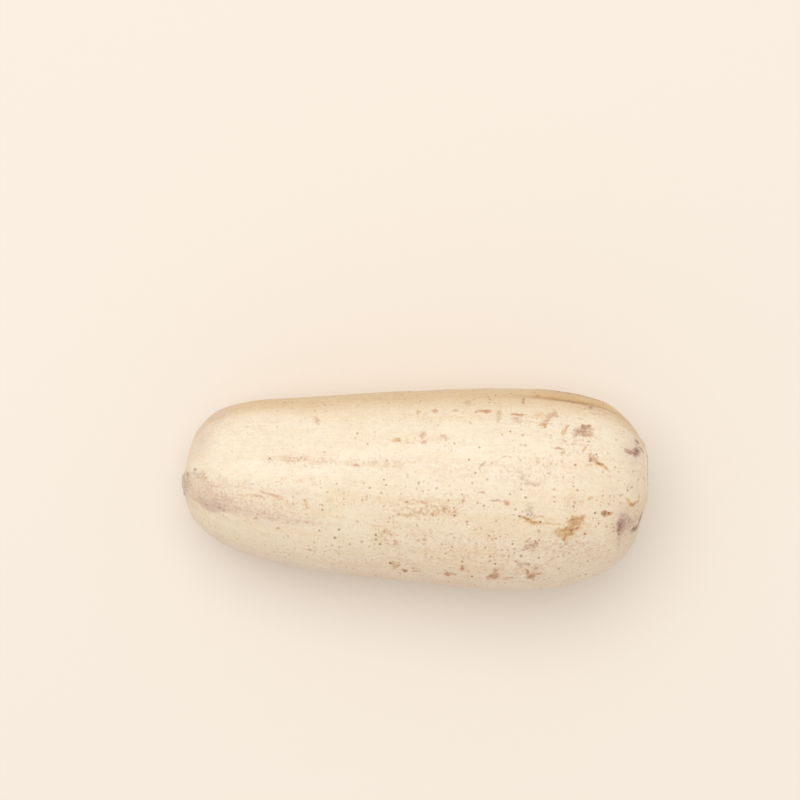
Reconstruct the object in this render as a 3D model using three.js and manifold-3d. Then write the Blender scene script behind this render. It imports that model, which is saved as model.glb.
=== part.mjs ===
// Lotus root: one whole segment of the rhizome, washed, trimmed at both of its nodes and lying on its side.
//
// The segment grew as one piece, so it is one solid. Its shape is a spindle turned about a long axis:
// thickest two thirds of the way from the tip to the butt, tapering slowly to the tip. A neck joined it
// to its neighbour at either end. Both necks are trimmed off, which leaves a small raised scar on the
// tip and a wide, nearly flat one on the butt. The axis bows a little to the left at both ends.
//
// Frame: millimetres, +Z up. +X runs along the segment from tip to butt, +Y is to its left. The origin
// is on the surface that it lies on, below the middle of its bounding box.

import * as THREE from "three";
import { mergeVertices } from "three/addons/utils/BufferGeometryUtils.js";
import Module from "manifold-3d";

// Driving dimensions
const LENGTH = 200; // from scar to scar
const WIDTH = 85.5; // across the belly, lying down
const FLATTENING = 0.94; // height of a section over its width
const LEAN = 0.072; // rise of the axis towards the butt, in mm per mm, which lays the belly level
const REST_DEPTH = 0.6; // how much of the round belly is pressed flat where it rests

// Facets
const SIDES = 56; // round the segment
const STEPS_PER_STATION = 3; // along it

// The outline, from tip to butt. Each station has three shares: how far it is along the axis, of half
// the length and counted from the middle; the half-width there and the bow there, of half the width.
const STATIONS = [
  [-1.0, 0.0, 0.02],
  [-0.999, 0.115, 0.02], // rim of the tip's scar
  [-0.989, 0.14, 0.03],
  [-0.974, 0.25, 0.07],
  [-0.948, 0.415, 0.1],
  [-0.908, 0.535, 0.118],
  [-0.84, 0.66, 0.122],
  [-0.7, 0.778, 0.098],
  [-0.45, 0.865, 0.056],
  [-0.06, 0.945, 0.03],
  [0.345, 1.0, 0.0], // the belly
  [0.62, 0.962, -0.012],
  [0.8, 0.836, 0.006],
  [0.9, 0.675, 0.016],
  [0.955, 0.5, 0.036],
  [0.983, 0.335, 0.064], // rim of the butt's scar
  [0.995, 0.215, 0.1],
  [1.0, 0.0, 0.12],
];

// The stations joined by a smooth curve, as points in mm: x along the axis, y the half-width, z the bow.
function outline() {
  const points = STATIONS.map(
    ([along, halfWidth, bow]) =>
      new THREE.Vector3((along * LENGTH) / 2, (halfWidth * WIDTH) / 2, (bow * WIDTH) / 2),
  );
  const curve = new THREE.CatmullRomCurve3(points, false, "centripetal");
  return curve.getPoints((STATIONS.length - 1) * STEPS_PER_STATION);
}

// The outline turned about its own axis, then laid along X with its oval section, its bow and its lean.
function spindle() {
  const rings = outline();
  const profile = rings.map((ring) => new THREE.Vector2(Math.max(ring.y, 0), ring.x));
  const turned = new THREE.LatheGeometry(profile, SIDES);
  const place = turned.getAttribute("position");
  for (let i = 0; i < place.count; i++) {
    const { x: along, z: bow } = rings[i % rings.length];
    const across = place.getZ(i) + bow;
    const up = place.getX(i) * FLATTENING + along * LEAN;
    place.setXYZ(i, along, across, up);
  }
  return turned;
}

const manifold = await Module();
manifold.setup();

// A closed geometry as a manifold-3d solid. Only its positions are kept, so that its seams merge.
function solidOf(geometry) {
  const bare = new THREE.BufferGeometry();
  bare.setAttribute("position", geometry.getAttribute("position"));
  bare.setIndex(geometry.getIndex());
  const merged = mergeVertices(bare, 1e-4);
  return new manifold.Manifold(
    new manifold.Mesh({
      numProp: 3,
      vertProperties: new Float32Array(merged.getAttribute("position").array),
      triVerts: new Uint32Array(merged.getIndex().array),
    }),
  );
}

function geometryOf(solid) {
  const { vertProperties, triVerts } = solid.getMesh();
  const geometry = new THREE.BufferGeometry();
  geometry.setAttribute("position", new THREE.BufferAttribute(vertProperties, 3));
  geometry.setIndex(new THREE.BufferAttribute(triVerts, 1));
  geometry.computeVertexNormals();
  return geometry;
}

// Centres a geometry over the origin and sets the height of its lowest point.
function standAt(geometry, height) {
  geometry.computeBoundingBox();
  const { min, max } = geometry.boundingBox;
  return geometry.translate(-(min.x + max.x) / 2, -(min.y + max.y) / 2, height - min.z);
}

// The root, cut flat where its weight rests on the surface.
function lotusRoot() {
  const body = standAt(spindle(), -REST_DEPTH);
  const ground = new THREE.BoxGeometry(LENGTH, WIDTH, WIDTH).translate(0, 0, -WIDTH / 2);
  const geometry = geometryOf(solidOf(body).subtract(solidOf(ground)));
  const skin = new THREE.MeshStandardMaterial({ color: 0xecd9b4, roughness: 0.45, metalness: 0 });
  const mesh = new THREE.Mesh(geometry, skin);
  mesh.name = "lotus_root";
  return mesh;
}

const part = new THREE.Group();
part.add(lotusRoot());

export default part;
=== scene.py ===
"""Lotus root: one whole segment of the rhizome, washed and trimmed, lying on its side on a plain stage.

The script is laid out as an add-on and run as a script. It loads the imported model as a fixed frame, builds
the finished root over the frame's solid and a plain stage round it, and hands the scene over.

Frame: metres, +Z up, +X from the root's tip to its butt, +Y to its left. The origin is on the surface that
the root lies on. The tables of shapes and marks are in millimetres, which MM turns into metres.
"""

import math
from typing import NamedTuple

import bpy
import numpy as np
from bpy.props import FloatProperty, FloatVectorProperty, PointerProperty
from mathutils import Matrix, Vector


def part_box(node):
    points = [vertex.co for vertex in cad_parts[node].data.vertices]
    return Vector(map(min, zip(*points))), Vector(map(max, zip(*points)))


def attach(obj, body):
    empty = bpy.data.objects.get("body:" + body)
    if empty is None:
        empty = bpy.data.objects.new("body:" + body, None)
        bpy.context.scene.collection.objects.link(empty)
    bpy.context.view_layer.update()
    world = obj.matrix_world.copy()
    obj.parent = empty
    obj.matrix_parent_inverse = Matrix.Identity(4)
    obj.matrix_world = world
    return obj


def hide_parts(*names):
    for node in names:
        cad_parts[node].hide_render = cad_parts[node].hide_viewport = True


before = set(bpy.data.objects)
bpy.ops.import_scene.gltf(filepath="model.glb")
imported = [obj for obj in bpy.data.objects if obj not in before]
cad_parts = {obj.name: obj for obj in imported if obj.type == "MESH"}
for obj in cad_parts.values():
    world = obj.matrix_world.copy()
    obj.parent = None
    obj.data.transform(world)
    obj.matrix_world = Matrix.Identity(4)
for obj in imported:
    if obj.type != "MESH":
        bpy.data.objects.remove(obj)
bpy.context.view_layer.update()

bl_info = {
    "name": "Lotus Root",
    "version": (1, 0, 0),
    "blender": (4, 5, 0),
    "location": "3D View > Sidebar > Lotus Root",
    "description": "Builds a whole segment of lotus root and a plain stage to show it on",
    "category": "Add Mesh",
}

MM = 0.001  # metres in a millimetre
SIZE = [high - low for low, high in zip(*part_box("lotus_root"))]  # the solid's length, width and height

CAMERA_PLACE = (-5.8, 38.1, 992.3)  # mm, straight above and a little to the root's left
CAMERA_LENS, CAMERA_SENSOR = 100.0, 36.0  # mm
WIDEST = 40.5  # mm above the floor: the level of the root's widest part
FAR = 9  # half-sizes of an oval, from which on nothing of a mark is left

# ==== The bare shape ====

RINGS = 284  # grid lines round the root
SIDES = 340  # grid lines along it
SPAN_STEPS = 24  # steps of the outline's curve from one station to the next
FLATTENING = 0.94  # height of a section over its width
LEAN = 0.072  # rise of the axis towards the butt, in mm per mm
REST_DEPTH = 0.6  # mm of the round belly that is pressed flat where it rests
FLAT_ROUNDING = 0.25  # mm, how softly the flat runs into the belly

# The outline, from tip to butt. Each station has three shares: how far it is along the axis, of half the
# length and counted from the middle; the half-width there and the bow there, of half the width.
STATIONS = (
    (-1.0, 0.0, 0.02),
    (-0.999, 0.115, 0.02),
    (-0.989, 0.14, 0.03),
    (-0.974, 0.25, 0.07),
    (-0.948, 0.415, 0.1),
    (-0.908, 0.535, 0.118),
    (-0.84, 0.66, 0.122),
    (-0.7, 0.778, 0.098),
    (-0.45, 0.865, 0.056),
    (-0.06, 0.945, 0.03),
    (0.345, 1.0, 0.0),
    (0.62, 0.962, -0.012),
    (0.8, 0.836, 0.006),
    (0.9, 0.675, 0.016),
    (0.955, 0.5, 0.036),
    (0.983, 0.335, 0.064),
    (0.995, 0.215, 0.1),
    (1.0, 0.0, 0.12),
)


def smooth_curve(points, per_span):
    """A centripetal Catmull-Rom curve through points, as an array of points.

    Between each two it is the cubic with a given slope at either end. The slope at a point is that of the
    parabola through it and its neighbours, spaced by the square roots of the distances between them.
    """
    ends = np.vstack([2 * points[0] - points[1], points, 2 * points[-1] - points[-2]])
    p0, p1, p2, p3 = ends[:-3], ends[1:-2], ends[2:-1], ends[3:]
    t1, t2, t3 = (np.sqrt(np.linalg.norm(d, axis=1, keepdims=True)) for d in (p1 - p0, p2 - p1, p3 - p2))
    middle = (p2 - p1) / t2
    leaving = ((p1 - p0) / t1 - (p2 - p0) / (t1 + t2) + middle) * t2
    arriving = (middle - (p3 - p1) / (t2 + t3) + (p3 - p2) / t3) * t2
    w = np.linspace(0, 1, per_span, endpoint=False)[:, None, None]
    spans = p1 + w * leaving + w**2 * (3 * (p2 - p1) - 2 * leaving - arriving)
    spans = spans + w**3 * (leaving + arriving - 2 * (p2 - p1))
    return np.vstack([spans.transpose(1, 0, 2).reshape(-1, 3), points[-1:]])


def evenly_along(curve, count):
    """count points between a curve's ends, neither end included, with equal lengths of it between them."""
    steps = np.linalg.norm(np.diff(curve[:, :2], axis=0), axis=1)
    run = np.concatenate([[0], np.cumsum(steps)])
    stops = np.linspace(0, run[-1], count + 2)[1:-1]
    return np.stack([np.interp(stops, run, column) for column in curve.T], axis=1)


def unit(vectors):
    """Vectors over their lengths."""
    return vectors / np.linalg.norm(vectors, axis=-1, keepdims=True)


class Skin:
    """The root's bare surface on a grid of rings by sides, in mm, with what the tables of marks need."""

    def __init__(self, length, width):
        """The outline turned about its axis. At an angle a from +Y towards +Z, y is the outline's
        half-width times cos a plus its bow, and z is FLATTENING times its half-width times sin a plus LEAN
        times x."""
        half_sizes = np.array([length, width, width]) / 2
        outline = evenly_along(smooth_curve(np.array(STATIONS) * half_sizes, SPAN_STEPS), RINGS)
        self.angle = np.linspace(-math.pi / 2, 1.5 * math.pi, SIDES, endpoint=False)[None, :]
        along, half_width, bow = (column[:, None] for column in outline.T)
        x = along + 0 * self.angle
        self.turn = np.degrees(self.angle) + 0 * x  # the angle in degrees at each point
        y = half_width * np.cos(self.angle) + bow
        axis_height = along * LEAN
        z = half_width * np.sin(self.angle) * FLATTENING + axis_height
        floor = z.min() + REST_DEPTH
        middle = (y.min() + y.max()) / 2
        self.place = np.stack([x, y - middle, z - floor], axis=-1)
        self.radius = half_width
        downstream = np.gradient(self.place, axis=0)
        round_it = np.roll(self.place, -1, axis=1) - np.roll(self.place, 1, axis=1)
        self.normal = unit(np.cross(round_it, downstream))
        above_widest = self.place[..., 2] - axis_height + floor
        self.on_top = above_widest > 0
        self.upper = ease(above_widest, -9, 0)  # 1 on the upper side, and fading just under it
        eye = np.array(CAMERA_PLACE)
        closeness = (eye[2] - WIDEST) / (eye[2] - self.place[..., 2:])
        self.seen = eye[:2] + (self.place[..., :2] - eye[:2]) * closeness

    def under(self, x, y):
        """Grid index of the point of the upper side that the camera sees at (x, y) on the widest level."""
        gap = np.hypot(self.seen[..., 0] - x, self.seen[..., 1] - y)
        return np.unravel_index(np.argmin(np.where(self.on_top, gap, np.inf)), gap.shape)

    def from_oval(self, x, y, length, width, turn):
        """How far each point is from the middle of an oval on the widest level, as the camera sees it and
        in the oval's own half-sizes. Points of the lower side are far away."""
        dx, dy = self.seen[..., 0] - x, self.seen[..., 1] - y
        c, s = math.cos(math.radians(turn)), math.sin(math.radians(turn))
        gap = np.hypot((dx * c + dy * s) / (length / 2), (dy * c - dx * s) / (width / 2))
        return gap + FAR * (1 - self.upper)


def bell(distance):
    """e to the power of minus the distance squared: 1 at 0, and close to 0 from 2 on."""
    return np.exp(-(distance**2))


def ease(value, low, high):
    """0 below low, 1 above high, and a smooth S between them. low may be the greater."""
    t = np.clip((value - low) / (high - low), 0, 1)
    return t * t * (3 - 2 * t)


def waves(place, length, seed):
    """Smooth random unevenness from about -1 to 1: a sum of sine waves of about one length, in mm, each
    with a random direction and start."""
    rng = np.random.default_rng(seed)
    count = 28
    heading = unit(rng.normal(size=(count, 3))) * rng.uniform(0.7, 1.4, (count, 1))
    start = rng.uniform(0, 2 * math.pi, count)
    return np.sin(place @ heading.T * (2 * math.pi / length) + start).sum(-1) / math.sqrt(count / 2) / 2


# ==== Relief on the bare shape, in mm ====


# The crease that runs along the left flank to the butt: place along the root, and angle in degrees from +Y
# towards +Z
CREASE = ((34, 21.0), (50, 20.5), (66, 20.0), (78, 19.0), (88, 16.5), (94, 12.0), (98, 5.0))

BUTT_SCAR = 14.5  # radius of the trimmed scar on the butt
BUTT_RINGS = 40  # grid lines that hold the butt's face
HOLLOWS = 9  # closed channels that show as hollows in a ring on that scar
HOLLOW_RING = 0.52 * BUTT_SCAR
HOLLOW_START = 7  # degrees from +Y to the first

# Scars of the rootlets that grew in a ring round the butt, and can't be seen from above: place along the
# root, angle in degrees from +Y towards +Z, and radius
ROOTLETS = (
    (92.5, 197, 2.1),
    (89.8, 214, 2.6),
    (94, 236, 1.8),
    (90.8, 254, 2.4),
    (93.6, 273, 1.9),
    (90, 291, 2.7),
    (94.2, 309, 1.8),
    (91.4, 329, 2.3),
    (94, 350, 1.7),
)


def below_crease(skin):
    """How far each point is below the crease, in mm round the root."""
    return np.radians(np.interp(skin.place[..., 0], *np.array(CREASE).T) - skin.turn) * skin.radius


def relief(skin, shape):
    """How far the finished skin stands out from the bare shape, in mm: a sum of waves and of bell curves
    across each feature, which ease in and out along it."""
    x, y, z = np.moveaxis(skin.place, -1, 0)
    height = shape.unevenness / MM * (waves(skin.place, 62, 3) + 0.35 * waves(skin.place, 17, 4))
    height += 0.05 * waves(skin.place, 5, 5)

    # Shallow flutes gathered towards the tip's neck, and the one long ridge of them that shows
    gathered = bell((x + 101) / 16) * ease(x, -100, -95)
    height += 0.3 * gathered * np.cos(9 * skin.angle + 0.6)
    ridge = ease(x, -95, -86) * ease(x, -46, -66)
    height += 0.4 * ridge * bell((y - 5.2) / 2.6) * skin.upper

    # The crease along the left flank: a groove with a soft roll outside it
    fold = ease(x, 36, 58) * ease(x, 99, 92)
    offset = below_crease(skin)
    folds = 0.4 * bell((offset - 3.4) / 2.2) - bell(offset / 1.3) * ease(x, 100, 70)
    height += shape.crease_depth / MM * fold * folds
    height += 1.4 * ease(x, 30, 66) * ease(x, 94, 82) * bell((skin.turn - 2) / 17)

    # The shallow dent across the top, steeper on its butt side
    beside = x - (46.4 - 0.18 * y)
    across = ease(y, 14, 7) * ease(y, -16, -9) * skin.upper
    height -= shape.dent_depth / MM * across * bell(np.where(beside > 0, beside / 2.0, beside / 4.2))
    height += shape.dent_depth / MM * 0.4 * across * bell((beside - 5) / 3)

    # The nick in the rim of the butt, a wider hollow to the right of it, and a swelling to the left
    nick = np.sqrt(((x - 98.5) / 4) ** 2 + ((y + 11.5) / 6) ** 2 + ((z - 44) / 13) ** 2)
    height -= 2.2 * bell(nick)
    height -= 1.1 * bell(skin.from_oval(95.0, -21.0, 16.0, 20.0, -60))
    height += 0.8 * bell(skin.from_oval(98.4, 17.0, 8.0, 13.0, 0))

    # The butt's scar: a low lip round a shallow groove, and inside them a rough face with its hollows
    out, butt = from_butt(skin), on_butt(skin)
    height += butt * 0.25 * bell((out - BUTT_SCAR) / 0.9)
    height -= butt * 0.3 * bell((out - BUTT_SCAR - 2.4) / 1.3)
    height -= butt * 0.5 * ease(out, BUTT_SCAR - 0.6, BUTT_SCAR - 2.5)
    rough = waves(skin.place, 2.6, 6) + np.cos(41 * skin.angle + 2 * waves(skin.place, 9, 8))
    height += butt * 0.12 * rough * ease(out, BUTT_SCAR, BUTT_SCAR - 2) * ease(out, 0, 4)
    height -= butt * 0.35 * bell(from_hollows(skin) / 1.1).sum(axis=0)

    # Rootlet scars: a small pit in a low mound, or on the upper side a shallow pit alone
    for along, angle, radius in ROOTLETS:
        gap = np.linalg.norm(skin.place - point_at(skin, along, angle), axis=-1) / radius
        height += 0.22 * bell(gap / 1.15) - 0.5 * bell(gap / 0.5)
    for mark in SUNK_PLUM:
        height -= 0.25 * bell(skin.from_oval(*mark[:5]))

    # The tip's scar is rough, and slopes back to the right
    tip = ease(x, -97.5, -99)
    height += tip * 0.18 * waves(skin.place, 2.2, 7)
    height -= 1.1 * ease(x, -98.2, -98.8) * ease(y, 2.5, -4.5)
    return height


def from_butt(skin):
    """How far each point is from the axis at the butt, in mm."""
    y, z = skin.place[..., 1], skin.place[..., 2]
    return np.hypot(y - y[-1].mean(), z - z[-1].mean())


def on_butt(skin):
    """1 on the butt's face and rim, and easing to 0 before them."""
    return ease(skin.place[..., 0], 90, 95)


def from_hollows(skin):
    """How far each point is from the middle of each hollow in the butt's scar, in mm."""
    face, out = skin.place[-BUTT_RINGS:], from_butt(skin)[-BUTT_RINGS:]
    gaps = []
    for hollow in range(HOLLOWS):
        side = side_at(skin, HOLLOW_START + hollow * 360 / HOLLOWS)
        middle = face[np.argmin(np.abs(out[:, side] - HOLLOW_RING)), side]
        gaps.append(np.linalg.norm(skin.place - middle, axis=-1))
    return np.array(gaps)


def side_at(skin, angle):
    """Grid index round the root of an angle in degrees from +Y towards +Z."""
    return np.argmin(np.abs((skin.turn[0] - angle + 180) % 360 - 180))


def index_at(skin, along, angle):
    """Grid index of the skin at a place along the root and an angle."""
    return np.argmin(np.abs(skin.place[:, 0, 0] - along)), side_at(skin, angle)


def point_at(skin, along, angle):
    """The bare skin's point there."""
    return skin.place[index_at(skin, along, angle)]


# ==== Marks on the skin ====


class Mark(NamedTuple):
    """An oval mark on the upper side: its middle, length and width in mm as the camera sees them on the
    widest level, the angle in degrees from +X of its length, and how strong it is."""

    x: float
    y: float
    length: float
    width: float
    turn: float
    strength: float


def marks(*rows):
    """A table of marks."""
    return tuple(Mark(*row) for row in rows)


# Golden-brown patches of old skin
RUST = marks(
    (64, -18.7, 7.2, 4.6, -8, 0.9), (66.6, -19, 5.8, 4.2, 15, 0.9), (69, -14.8, 8.8, 6.4, 28, 0.75),
    (66.2, -16.6, 6, 3.4, 10, 0.9), (65.2, -22.4, 3, 1.6, 80, 0.8), (74.6, -15.8, 4.6, 2, -4, 0.45),
    (50.6, -14.1, 6.4, 1.8, -20, 0.9), (58.4, -14.9, 9.6, 0.9, -2, 0.7), (83, -10.9, 1.8, 1.2, 0, 0.7),
    (81.2, 9.9, 6.6, 1.3, -39, 1), (64.6, 24.8, 3.4, 2.2, 58, 0.95), (63.5, 15.7, 2.9, 1.4, 10, 0.85),
    (73, 17.4, 2.6, 1.2, 34, 0.95), (76.2, -3.7, 2.8, 1.5, 5, 0.85), (75, 10.1, 2.6, 0.9, 8, 0.6),
    (69.4, 10.6, 2.2, 1, 0, 0.7), (91.7, -4.8, 3, 1.3, -50, 0.85), (93.8, -6.4, 3.8, 1.7, 0, 1),
    (95.6, -5.7, 3, 1.3, 18, 0.9), (96.6, -3.4, 1.5, 1.2, 60, 0.9), (94.2, -7.3, 2.2, 1.1, 0, 0.6),
    (-45.8, -5.5, 3.4, 1.8, 82, 0.7), (55.2, 27.4, 4, 1.9, 8, 0.6), (54.6, 31.4, 6, 2.6, 0, 0.45),
    (31.8, -19.8, 1.8, 1.4, 0, 0.6), (33.8, -21.7, 2.2, 1.5, -20, 0.5), (52.4, 12.4, 6, 2.4, 0, 0.35),
    (2.5, 33.2, 2.4, 1.2, 0, 0.5), (6.4, -9.2, 22, 5.4, 0, 0.24), (-1, -11.1, 9, 2.2, 0, 0.35),
    (0.8, -6, 8, 2.2, 0, 0.3), (20.8, -34.2, 2.4, 2, 0, 0.5), (-7, 20.5, 5, 2, 0, 0.85),
    (-45, 12.5, 26, 3.8, -2, 0.24), (-16, 11, 34, 3.4, 0, 0.17), (-2.6, 19.8, 3, 1.6, 80, 0.4),
)

# Reddish-brown grazes
RUSSET = marks(
    (70, -13.5, 7, 3.8, 20, 0.62), (67.4, -14.8, 5.8, 2.4, 38, 0.5), (69.5, -17.1, 2.6, 1.3, 12, 0.8),
    (67.3, -17.4, 2.6, 1.3, 0, 0.85), (66.6, -19.7, 4.4, 1.4, 14, 0.5), (65.1, -21.2, 2.6, 1.6, 85, 1),
    (62, -19.8, 1.6, 1.2, 0, 0.6), (64.4, -17.4, 3, 1, 20, 0.5), (71.6, -12.4, 2.4, 1.2, 0, 0.85),
    (48.2, -12.9, 4.6, 1.1, -28, 1), (51.4, -14.3, 3.4, 0.8, -12, 0.8), (54, -11.6, 3.8, 0.9, 3, 0.5),
    (93.8, -6.5, 3.2, 0.9, 0, 0.5), (72.5, 24.9, 8.2, 4, 8, 0.6), (70.6, 25.2, 4.2, 2.4, 8, 0.6),
    (75.2, 24, 3.4, 3.4, 10, 0.65), (73.6, 22.7, 3.4, 1.4, 20, 0.7), (72.6, 26.6, 3.4, 1.4, 20, 0.85),
    (75.6, 27.3, 3, 1.1, 16, 0.85), (69.6, 22.6, 4, 0.9, 26, 0.5), (77.3, 13, 4.6, 2.8, -52, 0.65),
    (78.6, 12.2, 5.6, 1.1, -50, 0.85), (75.9, 13.6, 3.6, 1.4, 84, 0.7), (81.4, 9.6, 4.8, 0.8, -38, 0.6),
    (66, 26.8, 2.8, 1.1, 48, 0.75), (64.8, 20.7, 2.4, 1.1, 0, 0.65), (62, 16.9, 3.2, 1, -5, 0.9),
    (57.4, 29.4, 7.2, 2.6, 50, 0.55), (60.2, 32.4, 3.6, 1.5, 52, 0.65), (61.4, 31.1, 1.5, 1.1, 0, 0.7),
    (30.5, 33.1, 5.2, 1.5, 0, 1), (26.5, 32.8, 1.4, 1.2, 0, 0.6), (45, 31.9, 6, 1.3, 0, 1),
    (44.8, 30.2, 4.2, 3.2, 0, 0.4), (47.1, 37.4, 1.5, 1.4, 0, 0.7), (36.7, 31.4, 5.2, 2.2, 77, 0.5),
    (38.3, 23.6, 1.3, 1.1, 0, 0.6), (4.3, 23, 4, 2.6, 80, 0.55), (4.4, 20.4, 2.6, 2, 0, 0.5),
    (12.8, 21.9, 3.6, 1.6, -20, 0.5), (-6.6, 20.7, 2.4, 1.2, 0, 0.35), (-41.3, 29.4, 3.8, 2.2, -64, 0.6),
    (9.7, 33.5, 2.4, 1.5, 0, 0.7), (2.6, 32.9, 1.8, 1.2, 0, 0.4), (40.4, -6.2, 2.8, 2.3, -20, 1),
    (-24, 10.4, 2.6, 0.9, 0, 0.6), (-62, -1.9, 9, 1, -20, 0.5), (-57.2, -3.4, 5, 1, -12, 0.35),
    (-66.4, -2.6, 6, 1, -14, 0.3), (-89.4, 5.8, 4.8, 2.1, -70, 0.5), (-88, -0.8, 16, 8, -24, 0.14),
    (-78, -6.2, 9, 5, -20, 0.14), (-90.6, 4.3, 3, 0.9, -10, 0.4), (40.2, 13.9, 5, 0.7, 0, 0.5),
    (45, 13, 2.6, 0.7, -30, 0.5), (20.8, -33.7, 2.8, 1.6, 95, 0.9), (-3.5, -35, 2.9, 1.5, -8, 0.95),
    (1.4, -35.3, 3.4, 1.2, -10, 0.5), (-8.4, -32.8, 2.8, 2.8, 20, 0.65), (34.6, -37.1, 4, 3, 15, 1),
    (14.6, -36.6, 2.6, 1.8, 0, 0.8), (17, -36.5, 2, 1.4, 0, 0.5), (50.4, -37.1, 3.8, 2.8, 12, 1),
    (48.6, -35.7, 2.8, 1.3, -68, 1), (52.9, -36.5, 3, 1, 8, 0.85), (40.4, -38.2, 4.8, 1.6, 0, 0.4),
    (21.2, -5.4, 4.4, 1.5, 85, 0.5), (29.6, -1, 3.4, 0.9, 0, 0.6), (-44.4, -26.3, 4.6, 0.9, -18, 0.45),
    (17.4, -9.2, 1.6, 2, 80, 0.6), (13.2, -8.5, 1.6, 1.6, 0, 0.45), (15.1, -9.4, 1.2, 1.2, 0, 0.5),
    (8.2, -8, 1.5, 1.2, 0, 0.35), (7.6, -11.1, 2, 1.4, 10, 0.45), (6.2, -9.2, 1.3, 1.2, 0, 0.3),
    (0.6, -11.1, 6.4, 1.6, 0, 0.25), (-1.2, -8.4, 1.8, 1.2, 0, 0.3), (3.4, -9, 1.4, 1.2, 0, 0.3),
    (4.6, -5.6, 4.2, 1.2, 0, 0.28), (-11.4, -18.2, 3, 1.4, 0, 0.45), (-7.6, -22.8, 1.8, 2.4, 30, 0.55),
    (48.9, -22.2, 2.8, 1.3, 50, 0.6), (47.9, -24.4, 1.6, 2.6, 0, 0.45), (50.2, -24.2, 4.6, 3.8, 0, 0.3),
    (52.6, -23.2, 1.8, 1.1, 0, 0.5), (88, -16.6, 6, 1.6, 84, 0.5), (92.4, 15.9, 4.8, 1.9, -28, 0.65),
)

# Dark brown scabs
UMBER = marks(
    (82, -10.3, 2.4, 2.5, 0, 1), (84.4, -10.7, 2.6, 1.2, 8, 0.9), (69.6, -17.1, 1.3, 1.2, 0, 0.7),
    (67.3, -17.3, 1.2, 1, 0, 0.5), (72.6, 26.8, 1.8, 1, 10, 0.5), (75.4, 27.4, 2.4, 0.9, 15, 0.5),
    (80.4, 10.5, 2.4, 0.9, -45, 0.6), (33, -37.2, 1.6, 1.5, 0, 0.6), (35.1, -35, 1.5, 1.5, 0, 0.7),
    (50, -37.9, 2, 1.6, 0, 0.6), (-3.4, -35.3, 1.3, 0.9, 0, 0.6), (14.4, -36.6, 1.2, 1, 0, 0.25),
    (76.2, 34.9, 1.8, 1.1, 0, 0.7), (48.4, -14.2, 1.6, 0.8, 0, 0.5),
)

# Purple-brown scars of rootlets: first those round the butt, which are sunk in the skin
SUNK_PLUM = marks(
    (92.6, 16, 4.8, 2, -28, 0.45), (95.2, 15.6, 3.8, 3.4, 80, 0.95), (97.4, 16.8, 3.4, 1.2, -55, 0.75),
    (95.7, 20.4, 2.7, 1.2, -45, 0.95), (95.4, 18.6, 3.6, 0.7, -48, 0.5), (89.2, -15.4, 6.6, 3.8, 82, 0.8),
    (88.5, -18.5, 4.6, 2.4, 84, 0.6), (91.3, -12.5, 5.4, 3.8, -30, 0.45),
)
PLUM = SUNK_PLUM + marks(
    (95.1, -17, 3.2, 1.8, 40, 0.6), (88.1, -21.8, 4.4, 2.2, 88, 0.3), (76.1, 12.4, 1.5, 1.3, 0, 0.7),
    (-96.6, 6.5, 2.2, 1.4, 10, 0.6), (-93.4, 8.3, 1.3, 1.2, 0, 0.85), (-83.3, -7.7, 2.2, 1.3, -10, 0.35),
    (-81.6, -9, 1.6, 1.1, -10, 0.45), (-80.2, -3.4, 2, 1, -50, 0.4), (32.1, -38, 1.8, 1.9, 0, 0.5),
    (51.4, -23.4, 3.6, 1.2, 8, 0.5), (47.9, -25.8, 3.4, 1.1, 0, 0.4), (51.2, -25.5, 2.2, 1.5, 0, 0.45),
    (49.1, -32.4, 1.8, 1.8, 0, 0.6), (46.2, -32.3, 3.6, 2.2, 0, 0.35), (36.7, -5.2, 3.4, 1.2, -14, 0.5),
    (17.9, 33.8, 2.2, 1.4, 0, 0.4), (23.6, 36.8, 3.2, 2.4, 0, 0.25),
)

# Grey bruises, and grey marks on the butt side of the dent across the top, which are partly painted shade
# and partly a grey tint of the skin's own
SLATE = marks(
    (95, -17, 5.2, 2, 38, 0.85), (93, -15.2, 5, 4, 30, 0.35), (97.4, -12.8, 7, 1.2, 78, 0.9),
    # The four marks at x 47 to 52 lie on the dent across the top: painted shade, with some grey of the
    # skin's own
    (95.6, 16.2, 3, 2.6, 0, 0.4), (50, -9, 6.4, 2.8, 95, 0.45), (51.2, -11.9, 2.6, 1.4, 88, 0.4),
    (47.4, 4.8, 8, 2, -60, 0.4), (51.4, 2.3, 5, 1.6, -8, 0.4), (29.2, 9.8, 4.8, 0.9, 47, 0.5),
    (34.2, -4.9, 5, 0.9, -2, 0.45), (-92.6, 6, 6, 2.4, -14, 0.45), (-97.6, 2.6, 3.6, 8.8, -8, 0.35),
    (72.4, 24.8, 7, 3.4, 8, 0.42),
)

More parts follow.
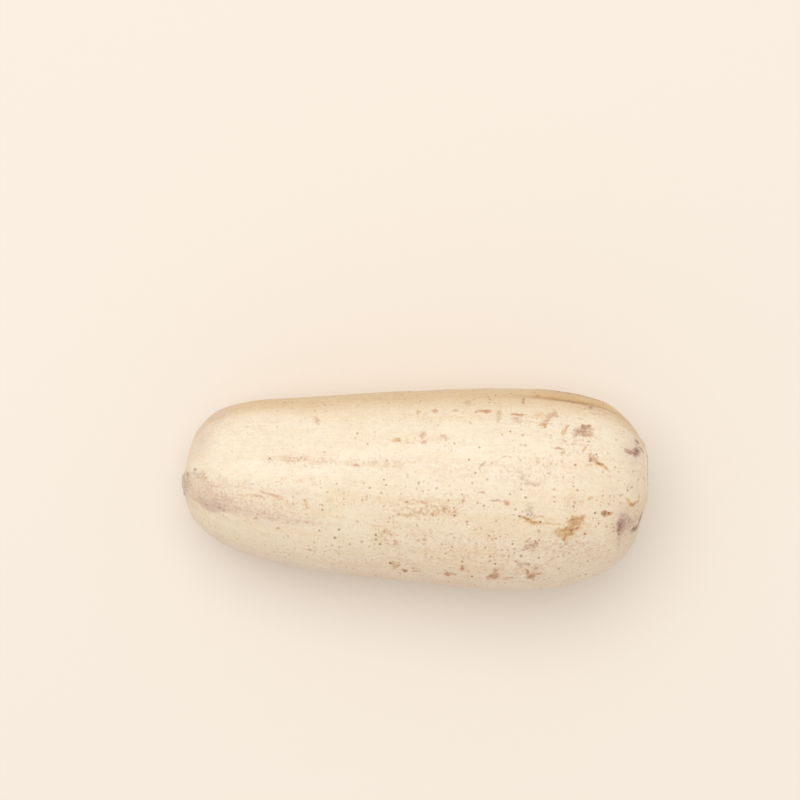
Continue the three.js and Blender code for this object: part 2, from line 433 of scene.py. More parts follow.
# Single dark pores that stand out: place, width and strength. They are a little longer than wide.
PORES = tuple(Mark(x, y, 1.15 * width, width, 0, strength) for x, y, width, strength in (
    (45.2, -11.6, 0.9, 1), (54.6, -14.2, 1, 1), (77.7, -10.2, 0.9, 1), (76.8, -12.6, 0.8, 0.5),
    (73.7, -19.2, 1, 0.9), (79.1, -14.5, 0.9, 0.7), (68.8, -7.7, 0.9, 0.7), (69.3, 10.5, 0.9, 0.7),
    (78.1, 15, 0.8, 0.8), (56.4, 26.2, 0.8, 0.6), (41.4, 24.9, 0.8, 0.8), (47.2, 22.9, 1.1, 0.4),
    (48.1, 18.6, 0.9, 0.5), (67.7, 18.7, 0.9, 0.4), (57.8, 7.1, 0.8, 0.5), (64.3, 4.6, 0.9, 0.5),
    (68.5, 1.3, 0.9, 0.5), (70, -0.7, 0.9, 0.6), (88.3, -2.7, 0.9, 0.6), (88.7, -5.8, 0.9, 0.4),
    (93.3, 0.7, 0.8, 0.6), (94.4, 7.6, 0.9, 0.4), (86.4, 9.2, 0.8, 0.5), (48, -3.3, 1, 0.6),
    (30, -7.2, 1, 0.7), (15, -4.6, 0.8, 0.8), (17.5, -11.6, 0.9, 0.9), (22.8, -14.1, 0.9, 0.7),
    (25.3, -37.5, 0.8, 0.9), (20.8, -31.2, 0.9, 0.8), (34.8, -32.2, 0.9, 0.8), (42.3, -23.7, 0.8, 0.9),
    (43.2, -25.4, 1, 0.5), (38.1, -26.2, 1.1, 0.4), (38.6, -28.6, 1.4, 0.3), (43.8, -30.9, 1.1, 0.5),
    (53.6, -29.4, 1, 0.4), (52.8, -33.8, 1.4, 0.5), (62.5, -34, 1, 0.5), (52, -22.1, 0.9, 0.6),
    (35.6, -21.6, 0.9, 0.6), (30.8, -25.4, 1, 0.5), (16.6, -25.2, 1, 0.6), (17.3, -21, 0.9, 0.5),
    (-10.2, -31.6, 1, 1), (-14, -23.7, 1.1, 0.7), (-16.4, -19.9, 0.9, 0.8), (-16.4, -21.7, 0.9, 0.8),
    (-6.5, -11.1, 0.8, 0.7), (-12.3, -7.5, 0.8, 0.6), (-2.6, -5.4, 0.8, 0.7), (1.9, -15.6, 0.9, 0.5),
    (-31.7, -17.7, 1, 0.8), (-33.7, -20.9, 1.2, 0.7), (-39.3, -8.9, 0.9, 0.7), (-39.3, -7, 0.8, 0.5),
    (-32.8, 1.9, 0.8, 0.6), (-12.9, 3.6, 0.8, 0.8), (-12.1, 1.8, 0.8, 0.7), (-24.1, 23.6, 0.9, 0.6),
    (-25, 22, 0.8, 0.5), (-19.9, 19.1, 0.9, 0.5), (-38.3, 16, 0.9, 0.4), (-61.6, 13.1, 1, 0.8),
    (23.5, 12.9, 0.9, 0.7), (28, 17.5, 0.9, 0.6), (17.7, 19.1, 0.8, 0.5), (26.2, 6.5, 0.9, 0.7),
    (-67.8, -12.6, 1.2, 0.5), (-57.8, -16.6, 1.2, 0.5),
))

# Broad soft tinges on the upper side. The first are of the tip's stain: round both ends, and in faint bands
# along the root. The second show where the skin is mottled.
STAINED = marks(
    (-97, 1.6, 5.4, 11, -6, 0.6), (-90.5, 21.5, 16, 9, 62, 0.48), (-84.5, 29.6, 14, 8, 35, 0.45),
    (-91, -1, 11, 7, -30, 0.35), (90.5, -16, 10, 16, 0, 0.55), (95.4, -14, 6, 12, 0, 0.45),
    (94, 16, 10, 9, -30, 0.55), (-89, -0.6, 13, 8, -24, 0.32), (-66, -11.4, 36, 6, -8, 0.15),
    (-50, -2, 16, 5, 0, 0.25), (69, -26, 22, 9, 0, 0.3), (-48, 12.4, 30, 4, -2, 0.12),
    (-18, 10.8, 44, 4, 0, 0.12),
)
MOTTLED = marks(
    (-80, -1, 26, 12, -8, 0.55), (-62, -6.6, 34, 10, -6, 0.6), (-58, -12.5, 30, 4, -5, 0.6),
    (-46, 12.4, 26, 5, 0, 0.65), (-18, 11.2, 36, 4.2, 0, 0.5), (-30, -4.8, 50, 3.4, 0, 0.4),
    (-57, 3.2, 4.4, 3.4, 0, 0.9), (-49.5, 3.2, 5, 3, 0, 0.8), (-41.6, 3.4, 4, 2.8, 0, 1),
    (7, -9, 30, 9, 0, 0.85), (-11.5, -20.5, 13, 9, 0, 0.9), (2, -20, 22, 8, 0, 0.6),
    (33, -21.5, 9, 8, 0, 0.7), (49.8, -24, 9, 7, 0, 0.9), (30, 8.6, 46, 6, 0, 0.5),
    (56, 11.6, 16, 4.4, 0, 0.8), (54, 6.4, 26, 10, 0, 0.5), (69, -6, 9, 7, 0, 0.7),
    (70, 19, 18, 11, 0, 0.65), (67, -18, 18, 12, 20, 0.6), (18, -27, 80, 18, 0, 0.42),
    (65, -25, 34, 13, 0, 0.72), (48, -33, 22, 8, 0, 0.8), (5, 20.5, 34, 4.4, 0, 0.5),
    (8, 31, 40, 6, 0, 0.25), (52, 29, 26, 6, 0, 0.5), (-72, 26, 22, 8, 0, 0.3),
    (75.5, 34.6, 15, 4, -22, 0.7),
)

# The stain that spreads from the tip: place along the root, and the place of its sharp lower edge and its
# strength there
STAIN = (
    (-99, 0, 0.3),
    (-96, -3.5, 0.5),
    (-93, -5.6, 0.8),
    (-90, -8.4, 1),
    (-86, -10.4, 1),
    (-82, -10.4, 0.8),
    (-77, -10.6, 0.55),
    (-70, -11.9, 0.5),
    (-60, -14.2, 0.45),
    (-50, -15.2, 0.4),
    (-43, -15.4, 0.3),
    (-36, -15.4, 0.0),
)


def stain(skin):
    """How stained each point is, from 0 to 1: the most of the tip's stain, which is full just above its
    lower edge and fades upwards, of the broad tinges, and of a halo round each rootlet scar."""
    along, edge, strength = np.array(STAIN).T
    x, y = skin.seen[..., 0], skin.seen[..., 1]
    above = y - np.interp(x, along, edge)
    fading = bell(np.maximum(above - 1.5, 0) / np.interp(x, (-95, -85, -65), (5.0, 6.0, 2.5)))
    start = -0.6 - 1.8 * ease(x, -90, -97) - 1.2 * ease(x, -84, -70)
    spread = np.interp(x, along, strength) * ease(above, start, 1.4) * fading * skin.upper
    halos = [bell(np.linalg.norm(skin.place - point_at(skin, along, angle), axis=-1) / (1.5 * radius))
             for along, angle, radius in ROOTLETS]
    return np.max([spread, broad(skin, STAINED), 0.5 * np.max(halos, axis=0)], axis=0)


HIDDEN_COUNTS = {"rust": 6, "russet": 12, "umber": 8, "slate": 5}


def hidden_marks(skin):
    """Marks at random places on the lower side, as a dictionary of ellipsoids and strengths by kind."""
    rng = np.random.default_rng(11)
    lower = np.argwhere(~skin.on_top & (np.abs(skin.place[..., 0]) < 92) & (skin.place[..., 2] > 0.5))
    found = {}
    for kind, count in HIDDEN_COUNTS.items():
        for index in lower[rng.integers(len(lower), size=count)]:
            length, width = rng.uniform(2.0, 7.0), rng.uniform(0.8, 2.4)
            turn, strength = rng.normal(0, 0.5), rng.uniform(0.4, 0.95)
            place = lying(skin, tuple(index), length, width, turn)
            found.setdefault(kind, []).append((place, strength))
    scars = [lying(skin, index_at(skin, *row[:2]), 1.5 * row[2], 1.1 * row[2], 0.7) for row in ROOTLETS]
    found["plum"] = [(place, 0.95) for place in scars]
    return found


def broad(skin, rows):
    """The strongest of several broad soft marks at each point of the skin, from 0 to 1."""
    layers = [m.strength * bell(skin.from_oval(*m[:5]) * 0.9) for m in rows]
    return np.max(layers, axis=0)


def standing(skin, mark):
    """The upright ellipsoid that marks the upper side where the camera sees an oval, as its middle and
    half-sizes in metres and its turn. It is tall enough for the slope of the skin."""
    place = skin.place[skin.under(mark.x, mark.y)] * MM
    closeness = (CAMERA_PLACE[2] - WIDEST) / (CAMERA_PLACE[2] - place[2] / MM)
    height = 1.5 * max(mark.length, mark.width) + 4
    sizes = (mark.length / 2 / closeness * MM, mark.width / 2 / closeness * MM, height * MM)
    return tuple(place), (0, 0, math.radians(mark.turn)), sizes


def lying(skin, index, length, width, turn):
    """The same for an oval of a real length and width that lies on the skin at a grid index."""
    normal = skin.normal[index]
    along = np.array([math.cos(turn), math.sin(turn), 0.0])
    along = unit(along - normal * (along @ normal))
    axes = Matrix(np.stack([along, np.cross(normal, along), normal], axis=1).tolist())
    depth = 0.6 * max(length, width) + 1.5
    sizes = (length / 2 * MM, width / 2 * MM, depth * MM)
    return tuple(skin.place[index] * MM), tuple(axes.to_euler()), sizes


# ==== Shader nodes ====


class Value:
    """A number worked out by nodes. Its operators add Math nodes, so that an expression builds them."""

    def __init__(self, nodes, socket):
        self.nodes = nodes
        self.socket = socket

    def math(self, operation, *others, first=False):
        """An operation on this number and others, or on the others first."""
        terms = [*others, self] if first else [self, *others]
        node = self.nodes.add("ShaderNodeMath", {"operation": operation}, dict(enumerate(terms)))
        return Value(self.nodes, node.outputs[0])

    def __add__(self, other):
        return self.math("ADD", other)

    def __sub__(self, other):
        return self.math("SUBTRACT", other)

    def __rsub__(self, other):
        return self.math("SUBTRACT", other, first=True)

    def __mul__(self, other):
        return self.math("MULTIPLY", other)

    __radd__ = __add__
    __rmul__ = __mul__

    def most(self, other):
        return self.math("MAXIMUM", other)

    def ease(self, low, high, bottom=0.0, top=1.0):
        """bottom below low, top above high, and a smooth S between them. low may be the greater."""
        ends = {"From Min": low, "From Max": high, "To Min": bottom, "To Max": top}
        if low > high:
            ends = {"From Min": high, "From Max": low, "To Min": top, "To Max": bottom}
        settings = {"interpolation_type": "SMOOTHSTEP", "clamp": False}  # the S is level beyond its ends
        node = self.nodes.add("ShaderNodeMapRange", settings, {"Value": self, **ends})
        return Value(self.nodes, node.outputs[0])


class Nodes:
    """Builds the nodes of one material."""

    def __init__(self, name):
        self.material = bpy.data.materials.new(name)
        self.material.use_nodes = True
        self.tree = self.material.node_tree
        self.tree.nodes.clear()

    def add(self, kind, settings=None, inputs=None):
        """A node of a kind, with its settings, and a value or a link for each socket named."""
        node = self.tree.nodes.new(kind)
        for name, value in (settings or {}).items():
            setattr(node, name, value)
        for name, value in (inputs or {}).items():
            if isinstance(value, Value):
                value = value.socket
            if isinstance(value, bpy.types.NodeSocket):
                self.tree.links.new(value, node.inputs[name])
            else:
                node.inputs[name].default_value = value
        return node

    def attribute(self, name):
        return self.add("ShaderNodeAttribute", {"attribute_name": name})

    def value_of(self, name):
        """The number that the piece stores under a name."""
        return Value(self, self.attribute(name).outputs["Fac"])

    def stretched(self, vector, scale):
        """A vector whose parts are scaled: a small scale stretches the noise that reads it."""
        return self.add("ShaderNodeMapping", None, {"Vector": vector, "Scale": scale}).outputs[0]

    def noise_node(self, vector, size, detail):
        inputs = {"Vector": vector, "Scale": 1 / size, "Detail": detail, "Roughness": 0.55}
        return self.add("ShaderNodeTexNoise", None, inputs)

    def noise(self, vector, size, detail):
        """Noise from 0 to 1 whose lumps are about a size apart."""
        return Value(self, self.noise_node(vector, size, detail).outputs[0])

    def vector(self, operation, a, b=None, scale=None):
        """The vector that an operation makes of one or two, or the number for a length or a dot product."""
        inputs = {0: a}
        if b is not None:
            inputs[1] = b
        if scale is not None:
            inputs["Scale"] = scale
        outputs = self.add("ShaderNodeVectorMath", {"operation": operation}, inputs).outputs
        return outputs["Value" if operation in ("LENGTH", "DOT_PRODUCT") else "Vector"]

    def strayed(self, where, size, detail, distance):
        """A place moved by noise whose lumps are about a size apart, by up to half a distance each way."""
        shift = self.noise_node(where, size, detail).outputs["Color"]
        shift = self.vector("SUBTRACT", shift, (0.5, 0.5, 0.5))
        return self.vector("ADD", where, self.vector("SCALE", shift, scale=distance))

    def dots(self, where, spacing):
        """How far the surface is from the middle of the nearest of scattered dots, and a random number for
        each dot. The distance leaves out how far above or below the surface the dot's middle is."""
        moved = self.strayed(where, 3.5 * spacing, 0, 1.6 * spacing)
        cells = self.add("ShaderNodeTexVoronoi", None, {"Vector": moved, "Scale": 1 / spacing})
        offset = self.vector("SUBTRACT", moved, cells.outputs["Position"])
        normal = self.add("ShaderNodeTexCoord").outputs["Normal"]
        rise = self.vector("DOT_PRODUCT", offset, normal)
        level = self.vector("SUBTRACT", offset, self.vector("SCALE", normal, scale=rise))
        luck = self.add("ShaderNodeSeparateColor", None, {"Color": cells.outputs["Color"]}).outputs[0]
        return Value(self, self.vector("LENGTH", level)), Value(self, luck)

    def mix(self, factor, a, b, blend="MIX"):
        """A mix of two colours."""
        settings = {"data_type": "RGBA", "blend_type": blend}
        node = self.add("ShaderNodeMix", settings, {0: factor, 6: a, 7: b})  # the colour sockets
        return node.outputs[2]

    def tinge(self, colour, tint, mask):
        """A colour multiplied by a tint where the mask is."""
        return self.mix(mask, colour, (*tint, 1), "MULTIPLY")

    def oval(self, vector, place, turn, sizes, strength, soft):
        """A mark's mask: its strength inside the ellipsoid and 0 outside it, with a soft edge.

        The spherical gradient is 1 at the middle of the ellipsoid grown by the soft edge, and 0 outside it.
        """
        grown = [half * (1 + soft) for half in sizes]
        inputs = {"Vector": vector, "Location": place, "Rotation": turn, "Scale": grown}
        local = self.add("ShaderNodeMapping", {"vector_type": "TEXTURE"}, inputs).outputs[0]
        gradient = self.add("ShaderNodeTexGradient", {"gradient_type": "SPHERICAL"}, {"Vector": local})
        return Value(self, gradient.outputs["Fac"]).ease(0, 2 * soft / (1 + soft), 0.0, strength)

    def finish(self, inputs):
        """Adds the shader with what its sockets get, and gives the finished material."""
        shader = self.add("ShaderNodeBsdfPrincipled", None, inputs)
        self.add("ShaderNodeOutputMaterial", None, {"Surface": shader.outputs[0]})
        return self.material


# ==== Materials ====


def skin_material(look, skin):
    """Waxy cream skin with straw streaks along it, marks, stains, dark pores, and painted light and shade.
    Sizes are in metres.
    """
    n = Nodes("lotus_skin")
    where = n.add("ShaderNodeTexCoord").outputs["Object"]
    grain = n.attribute("grain").outputs["Vector"]
    tip_scar, butt_scar = n.value_of("tip_scar"), n.value_of("butt_scar")
    scarred = tip_scar.most(butt_scar)

    # Streaks and bands follow the root's length; patches and freckles don't
    fibres = n.noise(n.stretched(grain, (0.03, 1, 1)), 0.0011, 3)
    bands = n.noise(n.stretched(grain, (0.10, 1, 1)), 0.0065, 2)
    patches = n.noise(where, 0.024, 3)
    clouds = n.noise(where, 0.010, 3)
    blotches = n.noise(where, 0.0042, 4)
    specks = n.noise(where, 0.0011, 2)
    painted_highlight = n.value_of("painted_highlight")
    # Cream, paler in random patches, and paler still under the painted highlight on top, which also weakens
    # the straw bands there
    colour = n.mix(patches.ease(0.3, 0.7) * 0.4 + painted_highlight * 0.7, (*look.cream, 1), (*look.pale, 1))
    banded = (bands * 0.6 + clouds * 0.4).ease(0.45, 0.65)
    colour = n.tinge(colour, look.straw, banded * (0.47 - painted_highlight * 0.22))
    colour = n.tinge(colour, look.straw, fibres.ease(0.5, 0.75) * 0.4)

    # The left flank gets a straw tint: partly the skin's own tan, partly painted shade and a painted warm
    # reflection
    colour = n.tinge(colour, look.flank, n.value_of("flank"))
    # Painted shade on the lower right flank: greyer and a little cooler, strongest along its lower edge
    colour = n.tinge(colour, look.shade, n.value_of("shade"))

    # Mottling: a tinge, streaky clouds and freckles
    mottled = n.value_of("mottled")
    streaky = n.noise(n.stretched(grain, (0.55, 1, 1)), 0.0021, 3)
    cloudy = (streaky * 0.4 + specks * 0.4 + blotches * 0.2).ease(0.46, 0.58)
    spots, spot_luck = n.dots(where, 0.0027)
    spot_size = mottled * 0.0004 + spot_luck * 0.0005 - 0.0002
    spotted = (spots - spot_size).ease(0.0004, -0.0002) * (mottled * 0.7 + 0.3)
    freckled = mottled * (cloudy * 0.46 + 0.04) + cloudy * 0.17
    colour = n.tinge(colour, look.freckle, freckled.most(spotted))

    # The stain, a little uneven, and the crease's brown line, with painted shade along the roll beside it
    uneven = (blotches * 0.5 + specks * 0.5).ease(0.3, 0.6, 0.75, 1.05)
    colour = n.tinge(colour, look.stain, n.value_of("stained") * uneven)
    colour = n.tinge(colour, look.crease, n.value_of("creased"))

    # Marks, with edges frayed by noise and torn by the grain
    frayed = n.strayed(where, 0.0026, 2, 0.002)
    extra = hidden_marks(skin)
    torn = (specks * 0.5 + streaky * 0.3 + fibres * 0.2).ease(0.4, 0.6) * 0.32 - 0.17
    covered = None
    for kind, rows, tint, soft in (
        ("rust", RUST, look.rust, 0.4),
        ("russet", RUSSET, look.russet, 0.55),
        ("umber", UMBER, look.umber, 0.65),
        ("plum", PLUM, look.plum, 0.7),
        ("slate", SLATE, look.slate, 0.7),
        ("pore", PORES, look.pore, 0.4),
    ):
        placed = [(standing(skin, mark), mark.strength) for mark in rows] + extra.get(kind, [])
        mask = None
        for place, strength in placed:
            oval = n.oval(where if kind == "pore" else frayed, *place, strength, soft)
            mask = oval if mask is None else mask.most(oval)
        if kind != "pore":
            mask = mask + torn * mask.ease(0, 0.3)
        colour = n.tinge(colour, tint, mask)
        covered = mask if covered is None else covered.most(mask)

    # Pores: dark dots of different sizes in loose clusters, and few under the painted highlight on top and
    # round the tip
    gap, luck = n.dots(where, look.pore_spacing)
    clustered = n.noise(where, 0.007, 1).ease(0.38, 0.62, 0.25, 1)
    dots = (gap - luck * look.pore_radius).ease(0.0003, -0.0002) * (luck * luck * 0.58 + 0.12)
    dots = dots * (1 - scarred) * clustered * (1 - n.value_of("sparse"))
    colour = n.tinge(colour, look.pore, dots)

    # The trimmed scars: dry fibres that spread from the middle, with darker hollows
    rough_patch = n.noise(where, 0.0018, 4)
    rays = n.noise(n.stretched(grain, (0.2, 1, 1)), 0.004, 3) * 0.6 + rough_patch * 0.4
    hollows = n.value_of("scar_dark")
    for scar, dark, pale in (
        (tip_scar, look.tip_dark, look.tip_pale),
        (butt_scar, look.butt_dark, look.butt_pale),
    ):
        fibrous = n.mix(rays.ease(0.36, 0.62), (*dark, 1), (*pale, 1))
        colour = n.mix(scar * 0.9, colour, n.tinge(fibrous, look.umber, hollows * 0.75))

    # Marks and scars are drier than the skin, and pores are sunk
    dryness = covered.most(dots) * 0.2 + scarred * 0.25
    roughness = patches * 0.08 + fibres * 0.08 + dryness + (look.roughness - 0.08)
    fine = fibres * 0.35 + specks * 0.4 + n.noise(where, 0.0005, 1) * 0.25
    height = fine * 0.3 + rough_patch * scarred * 0.8 - dots * 0.5
    bump = n.add("ShaderNodeBump", None, {"Height": height, "Strength": 0.5, "Distance": 0.0003})
    return n.finish({
        "Base Color": colour,
        "Roughness": roughness,
        "Normal": bump.outputs[0],
        "Specular IOR Level": 0.4,
        "Subsurface Weight": 0.12,
        "Subsurface Radius": (1.0, 0.6, 0.35),
        "Subsurface Scale": 0.003,
    })


def floor_material(stage):
    """A matt floor of one colour."""
    inputs = {"Base Color": (*stage.floor_colour, 1), "Roughness": 0.85, "Specular IOR Level": 0.2}
    return Nodes("stage_floor").finish(inputs)


# ==== Meshes ====


def grid_faces(rings, sides):
    """Faces of a closed grid whose vertices are ring by ring, followed by the vertex that closes the first
    ring and the one that closes the last: a quad between neighbours, and a fan of triangles at each end."""
    ring = np.arange(rings * sides).reshape(rings, sides)
    after = np.roll(ring, -1, axis=1)
    quads = np.stack([ring[:-1], after[:-1], after[1:], ring[1:]], axis=-1).reshape(-1, 4)
    first, last = rings * sides, rings * sides + 1
    start = np.stack([np.full(sides, first), after[0], ring[0]], axis=-1)
    end = np.stack([np.full(sides, last), ring[-1], after[-1]], axis=-1)
    return quads.tolist() + start.tolist() + end.tolist()


def with_ends(values):
    """A grid's values one after another, followed by the means of its first and last rings."""
    ends = values[[0, -1]].mean(axis=1)
    return np.concatenate([values.reshape(-1, *values.shape[2:]), ends])


def add_piece(name, place, material):
    """A smooth-shaded closed mesh object at the origin, from a grid of points in metres."""
    mesh = bpy.data.meshes.new(name)
    mesh.from_pydata(with_ends(place).tolist(), [], grid_faces(*place.shape[:2]))
    mesh.shade_smooth()
    mesh.materials.append(material)
    piece = bpy.data.objects.new(name, mesh)
    bpy.context.scene.collection.objects.link(piece)
    return piece


def add_attribute(piece, name, values):
    """Stores a grid of numbers or of vectors on a piece, for its material."""
    kind, field = ("FLOAT_VECTOR", "vector") if values.ndim == 3 else ("FLOAT", "value")
    attribute = piece.data.attributes.new(name, kind, "POINT")
    attribute.data.foreach_set(field, with_ends(values).astype(np.float32).ravel())


def lying_on_floor(place):
    """Presses what is below the floor up to it: z becomes half of the sum of z and the root of z squared
    plus FLAT_ROUNDING squared, so that the flat rounds into the belly. Its lowest point is then at 0."""
    z = place[..., 2]
    pressed = (z + np.sqrt(z**2 + FLAT_ROUNDING**2)) / 2
    return np.stack([place[..., 0], place[..., 1], pressed - pressed.min()], axis=-1)


# ==== Settings ====


def length_property(name, description, default, lowest=0.0):
    """A length in metres, for the sidebar."""
    return FloatProperty(
        name=name, description=description, default=default, min=lowest, subtype="DISTANCE", unit="LENGTH"
    )


def colour_property(name, description, default):
    """A colour, for the sidebar."""
    return FloatVectorProperty(
        name=name, description=description, default=default, size=3, min=0.0, max=1.0, subtype="COLOR"
    )


class RootShape(bpy.types.PropertyGroup):
    """Sizes of the root, from the frame's solid, and the depth of what marks its surface."""

    length: length_property("Length", "From the scar on the tip to the scar on the butt", SIZE[0], 0.02)
    width: length_property("Width", "Across the belly, lying down", SIZE[1], 0.01)
    unevenness: length_property("Unevenness", "Height of the slow swells of the skin", 0.00022)
    crease_depth: length_property("Crease depth", "Depth of the crease along the left flank", 0.0006)
    dent_depth: length_property("Dent depth", "Depth of the dent across the top", 0.0006)


class SkinLook(bpy.types.PropertyGroup):
    """Colours of the skin, and of the painted light and shade on it. Tints are multiplied into the colour
    under them.
    """

    cream: colour_property("Cream", "Colour of the bare skin", (0.835, 0.705, 0.52))
    # Pale is also the colour of the painted highlight on top
    pale: colour_property("Pale", "Colour of its palest patches", (0.90, 0.79, 0.62))
    straw: colour_property("Straw", "Tint of the streaks along the skin", (0.93, 0.84, 0.72))
    # Flank: the skin's own tan on the left flank, with painted shade and a painted warm reflection in it
    flank: colour_property("Flank", "Tint of the left flank", (0.83, 0.70, 0.51))
    # Shade: painted shade, a little cool, on the lower right flank
    shade: colour_property("Shade", "Tint of the lower right flank", (0.95, 0.92, 0.98))
    freckle: colour_property("Freckle", "Tint of the mottling", (0.77, 0.60, 0.54))
    rust: colour_property("Rust", "Tint of the golden-brown patches", (0.84, 0.70, 0.50))
    russet: colour_property("Russet", "Tint of the reddish-brown grazes", (0.70, 0.50, 0.38))
    umber: colour_property("Umber", "Tint of the dark scabs", (0.52, 0.30, 0.18))
    plum: colour_property("Plum", "Tint of the purple-brown scars of rootlets", (0.50, 0.34, 0.36))
    stain: colour_property("Stain", "Tint of the stain that spreads from the tip", (0.76, 0.66, 0.69))
    # Crease also paints the shade along the roll outside the crease
    crease: colour_property("Crease", "Tint of the line in the crease", (0.60, 0.45, 0.33))
    # Slate also paints the shade on the dent across the top
    slate: colour_property("Slate", "Tint of the grey bruises", (0.54, 0.48, 0.46))
    pore: colour_property("Pore", "Tint of the pores", (0.45, 0.29, 0.21))
    tip_dark: colour_property("Tip scar, dark", "Darkest colour of the tip's scar", (0.52, 0.44, 0.38))
    tip_pale: colour_property("Tip scar, pale", "Palest colour of the tip's scar", (0.69, 0.60, 0.50))
    butt_dark: colour_property("Butt scar, dark", "Darkest colour of the butt's scar", (0.50, 0.37, 0.24))
    butt_pale: colour_property("Butt scar, pale", "Palest colour of the butt's scar", (0.72, 0.60, 0.44))
    roughness: FloatProperty(
        name="Roughness",
        description="Roughness of the bare skin",
        default=0.42,
        min=0.0,
        max=1.0,
        subtype="FACTOR",
    )
    pore_spacing: length_property("Pore spacing", "Distance between neighbouring pores", 0.0026, 0.001)
    pore_radius: length_property("Pore radius", "Radius of the largest pores", 0.00047)


class StageLook(bpy.types.PropertyGroup):
    """The floor and the light."""

    floor_colour: colour_property("Floor", "Colour of the floor", (0.86, 0.78, 0.69))
    key_power: FloatProperty(
        name="Key light",
        description="Power of the wide soft light overhead",
        default=34.0,
        min=0.0,
        subtype="POWER",
        unit="POWER",
    )
    sky: FloatProperty(
        name="Fill",
        description="Strength of the even light from all round",
        default=0.67,
        min=0.0,
    )


# ==== The root ====


def skin_attributes(skin, grain_radius):
    """What the material reads at each point of the skin, by name: where it is in the grain, which is laid
    out on a cylinder of one radius, in metres, and how much of each tint or scar is there, from 0 to 1."""
    x, angle = skin.place[..., 0], skin.turn
    ring = skin.angle + 0 * x
    below, out, butt = below_crease(skin), from_butt(skin), on_butt(skin)

    # The left flank's tint, partly the skin's own tan and partly painted shade and a painted warm
    # reflection: a band that is widest along the middle of the root, and the roll outside the crease
    reach = 38 + 7 * ease(x, -58, -40) * ease(x, 76, 56)
    roll = ease(below, 0.2, 1) * ease(x, 24, 60) * (1 - 0.6 * ease(x, 76, 94))
    flank = np.maximum(ease(np.abs(angle - 6), reach, 10) * 0.72, roll * ease(angle, -40, -5))

    # The line in the crease, and a fainter one along the roll near the edge, which is painted shade where
    # that side faces away from the light
    lines = bell(below / 1.1) * ease(x, 104, 60) + 0.55 * ease(x, 34, 76) * bell((angle - 4) / 4.5)

    # Painted highlight: the top, where the light falls, made paler; it reaches further to the right towards
    # the tip
    edge = 88 + 22 * ease(x, -15, -45)
    painted_highlight = ease(angle, 22, 42) * ease(angle, edge, edge - 28) * (1 - 0.35 * ease(x, 30, 80))

    # The hollows and the middle of the butt's scar, its rim, and the rim of the tip's scar
    hollow = np.maximum(bell(from_hollows(skin).min(axis=0)), bell(out / 2.6))
    hollow = hollow + 0.8 * bell((out - BUTT_SCAR + 1.6) / 0.9)
    tip_rim = ease(x, -98.9, -98.4) * ease(x, -97, -98)

    return {
        "grain": np.stack([x * MM, grain_radius * np.cos(ring), grain_radius * np.sin(ring)], axis=-1),
        "flank": flank * ease(x, -98, -72),
        "creased": lines * ease(x, 36, 66) * ease(x, 99, 92),
        # Painted shade, strongest along the lower right edge and fading under the root
        "shade": ease(angle, 130, 172) * ease(angle, 230, 190),
        "painted_highlight": painted_highlight,
        "sparse": np.maximum(0.6 * painted_highlight, 0.5 * ease(x, -36, -66)),
        "stained": stain(skin),
        "mottled": broad(skin, MOTTLED),
        "butt_scar": ease(out, BUTT_SCAR - 1, BUTT_SCAR - 3) * butt,
        "scar_dark": np.clip(hollow * butt + tip_rim, 0, 1),
        "tip_scar": ease(x, -98.4, -98.9),
    }


class LOTUS_OT_add_root(bpy.types.Operator):
    """Build the lotus root over the frame's solid"""

    bl_idname = "lotus.add_root"
    bl_label = "Add lotus root"
    bl_options = {"REGISTER", "UNDO"}

    def execute(self, context):
        shape, look = context.scene.lotus_shape, context.scene.lotus_skin
        skin = Skin(shape.length / MM, shape.width / MM)
        grown = skin.place + skin.normal * relief(skin, shape)[..., None]
        piece = add_piece("root_skin", lying_on_floor(grown) * MM, skin_material(look, skin))
        for name, values in skin_attributes(skin, shape.width / 2).items():
            add_attribute(piece, name, values)
        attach(piece, "root")
        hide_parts("lotus_root")
        return {"FINISHED"}


# ==== The stage ====


FLOOR_REACH = 12.0  # metres from the origin to the floor's edges
KEY_PLACE = (-0.28, 0.65, 2.4)  # metres
KEY_AIM = (0, 0, 0.04)  # the middle of the root
KEY_SIZE = 2.42  # metres across
SKY_COLOUR = (1.0, 0.985, 0.96, 1)


def add_area_light(name, place, aim, size, power):
    """A round light at a place, turned towards another."""
    data = bpy.data.lights.new(name, "AREA")
    data.shape = "DISK"
    data.size = size
    data.energy = power
    light = bpy.data.objects.new(name, data)
    bpy.context.scene.collection.objects.link(light)
    light.location = place
    light.rotation_euler = (Vector(aim) - Vector(place)).to_track_quat("-Z", "Y").to_euler()


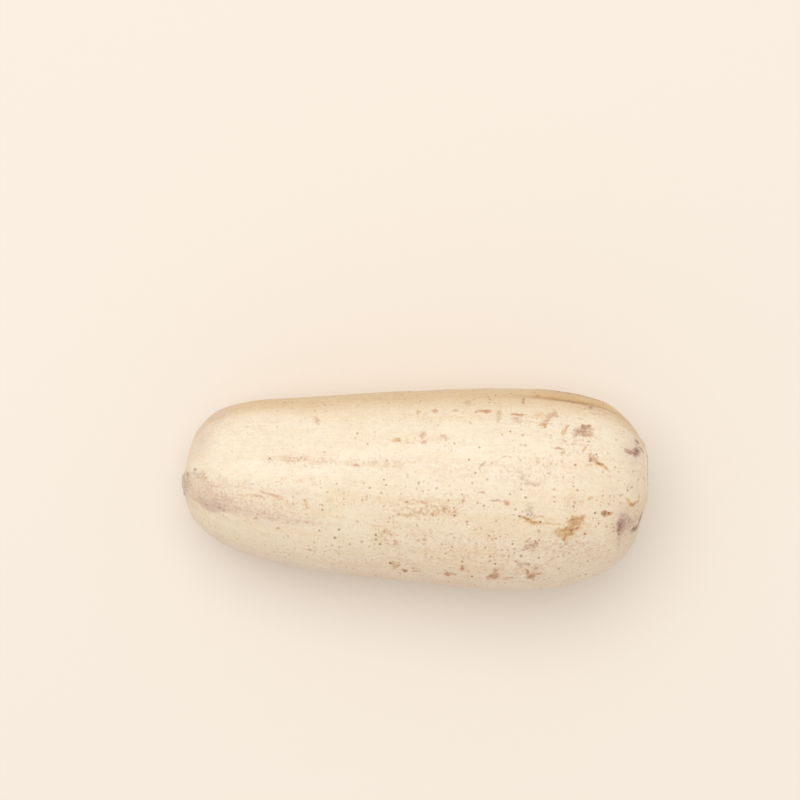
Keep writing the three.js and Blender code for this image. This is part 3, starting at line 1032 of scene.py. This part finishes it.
class LOTUS_OT_add_stage(bpy.types.Operator):
    """Add the floor, the light and the camera"""

    bl_idname = "lotus.add_stage"
    bl_label = "Add stage"
    bl_options = {"REGISTER", "UNDO"}

    def execute(self, context):
        scene, look = context.scene, context.scene.lotus_stage
        mesh = bpy.data.meshes.new("stage_floor")
        corners = [(x * FLOOR_REACH, y * FLOOR_REACH, 0) for x, y in ((-1, -1), (1, -1), (1, 1), (-1, 1))]
        mesh.from_pydata(corners, [], [(0, 1, 2, 3)])
        mesh.materials.append(floor_material(look))
        floor = bpy.data.objects.new("stage_floor", mesh)
        scene.collection.objects.link(floor)

        add_area_light("key_light", KEY_PLACE, KEY_AIM, KEY_SIZE, look.key_power)
        world = bpy.data.worlds.new("stage_sky")
        world.use_nodes = True
        background = world.node_tree.nodes["Background"]
        background.inputs["Color"].default_value = SKY_COLOUR
        background.inputs["Strength"].default_value = look.sky
        scene.world = world
        scene.view_settings.view_transform = "Standard"

        data = bpy.data.cameras.new("camera")
        data.lens, data.sensor_width = CAMERA_LENS, CAMERA_SENSOR
        camera = bpy.data.objects.new("camera", data)
        scene.collection.objects.link(camera)
        camera.location = [value * MM for value in CAMERA_PLACE]
        scene.camera = camera
        return {"FINISHED"}


class LOTUS_PT_sidebar(bpy.types.Panel):
    """The root's and the stage's settings, with the buttons that build them"""

    bl_idname = "LOTUS_PT_sidebar"
    bl_label = "Lotus Root"
    bl_space_type = "VIEW_3D"
    bl_region_type = "UI"
    bl_category = "Lotus Root"

    def draw(self, context):
        scene = context.scene
        for group, operator in (
            (scene.lotus_shape, LOTUS_OT_add_root),
            (scene.lotus_skin, None),
            (scene.lotus_stage, LOTUS_OT_add_stage),
        ):
            box = self.layout.box()
            for name in group.bl_rna.properties.keys():
                if name not in ("rna_type", "name"):
                    box.prop(group, name)
            if operator:
                box.operator(operator.bl_idname)


CLASSES = (RootShape, SkinLook, StageLook, LOTUS_OT_add_root, LOTUS_OT_add_stage, LOTUS_PT_sidebar)


def register():
    for cls in CLASSES:
        bpy.utils.register_class(cls)
    bpy.types.Scene.lotus_shape = PointerProperty(type=RootShape)
    bpy.types.Scene.lotus_skin = PointerProperty(type=SkinLook)
    bpy.types.Scene.lotus_stage = PointerProperty(type=StageLook)


def unregister():
    del bpy.types.Scene.lotus_shape
    del bpy.types.Scene.lotus_skin
    del bpy.types.Scene.lotus_stage
    for cls in reversed(CLASSES):
        bpy.utils.unregister_class(cls)


def main():
    """Builds the root and the stage."""
    register()
    bpy.ops.lotus.add_root()
    bpy.ops.lotus.add_stage()


if __name__ == "__main__":
    main()
